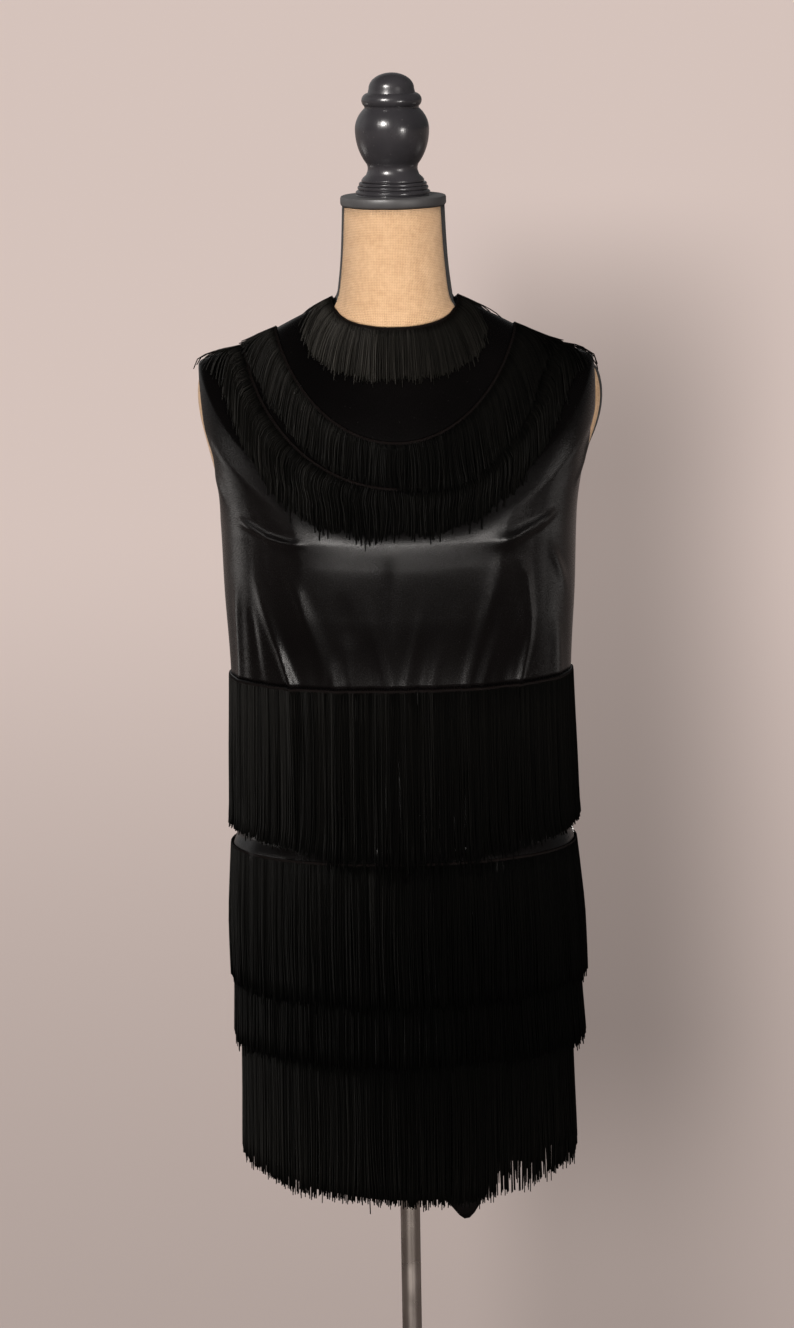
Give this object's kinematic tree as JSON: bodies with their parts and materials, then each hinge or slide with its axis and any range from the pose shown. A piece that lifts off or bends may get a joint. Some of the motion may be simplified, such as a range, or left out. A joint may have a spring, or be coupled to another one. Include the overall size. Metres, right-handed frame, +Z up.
{
  "type": "flapper dress on dress form stand",
  "caption": "Sleeveless black satin flapper mini dress with tiers of fringe and a fringed yoke, on a limbless dress form with a turned finial, steel pole and round base.",
  "frame": {"origin": "middle of the base's underside, on the floor, on the pole's axis", "axes": "+Z up along the pole and the neck; the dress's front faces -Y; +X is the wearer's left"},
  "size_m": [0.4059, 0.32, 1.5996],
  "materials": {
    "black_satin": "satin sheen",
    "black_fringe": "matt rayon chainette",
    "form_cover": "coarse burlap, black at the back",
    "black_wood": "semi-gloss black lacquer",
    "black_cap": "satin black paint",
    "steel": "brushed"
  },
  "bodies": {
    "root": {"bodice_front": "black_satin", "bodice_back": "black_satin", "skirt_front": "black_satin", "skirt_back": "black_satin", "back_placket": "black_satin", "fringe_neck": "black_fringe", "fringe_yoke_upper": "black_fringe", "fringe_yoke_lower": "black_fringe", "fringe_tier_1": "black_fringe", "fringe_tier_2": "black_fringe", "fringe_tier_3": "black_fringe", "fringe_tier_4": "black_fringe", "form_torso": "form_cover", "neck_cap": "black_cap", "finial": "black_wood", "pole": "steel", "pole_flange": "steel", "base": "steel", "base_collar": "steel"}
  },
  "joints": []
}
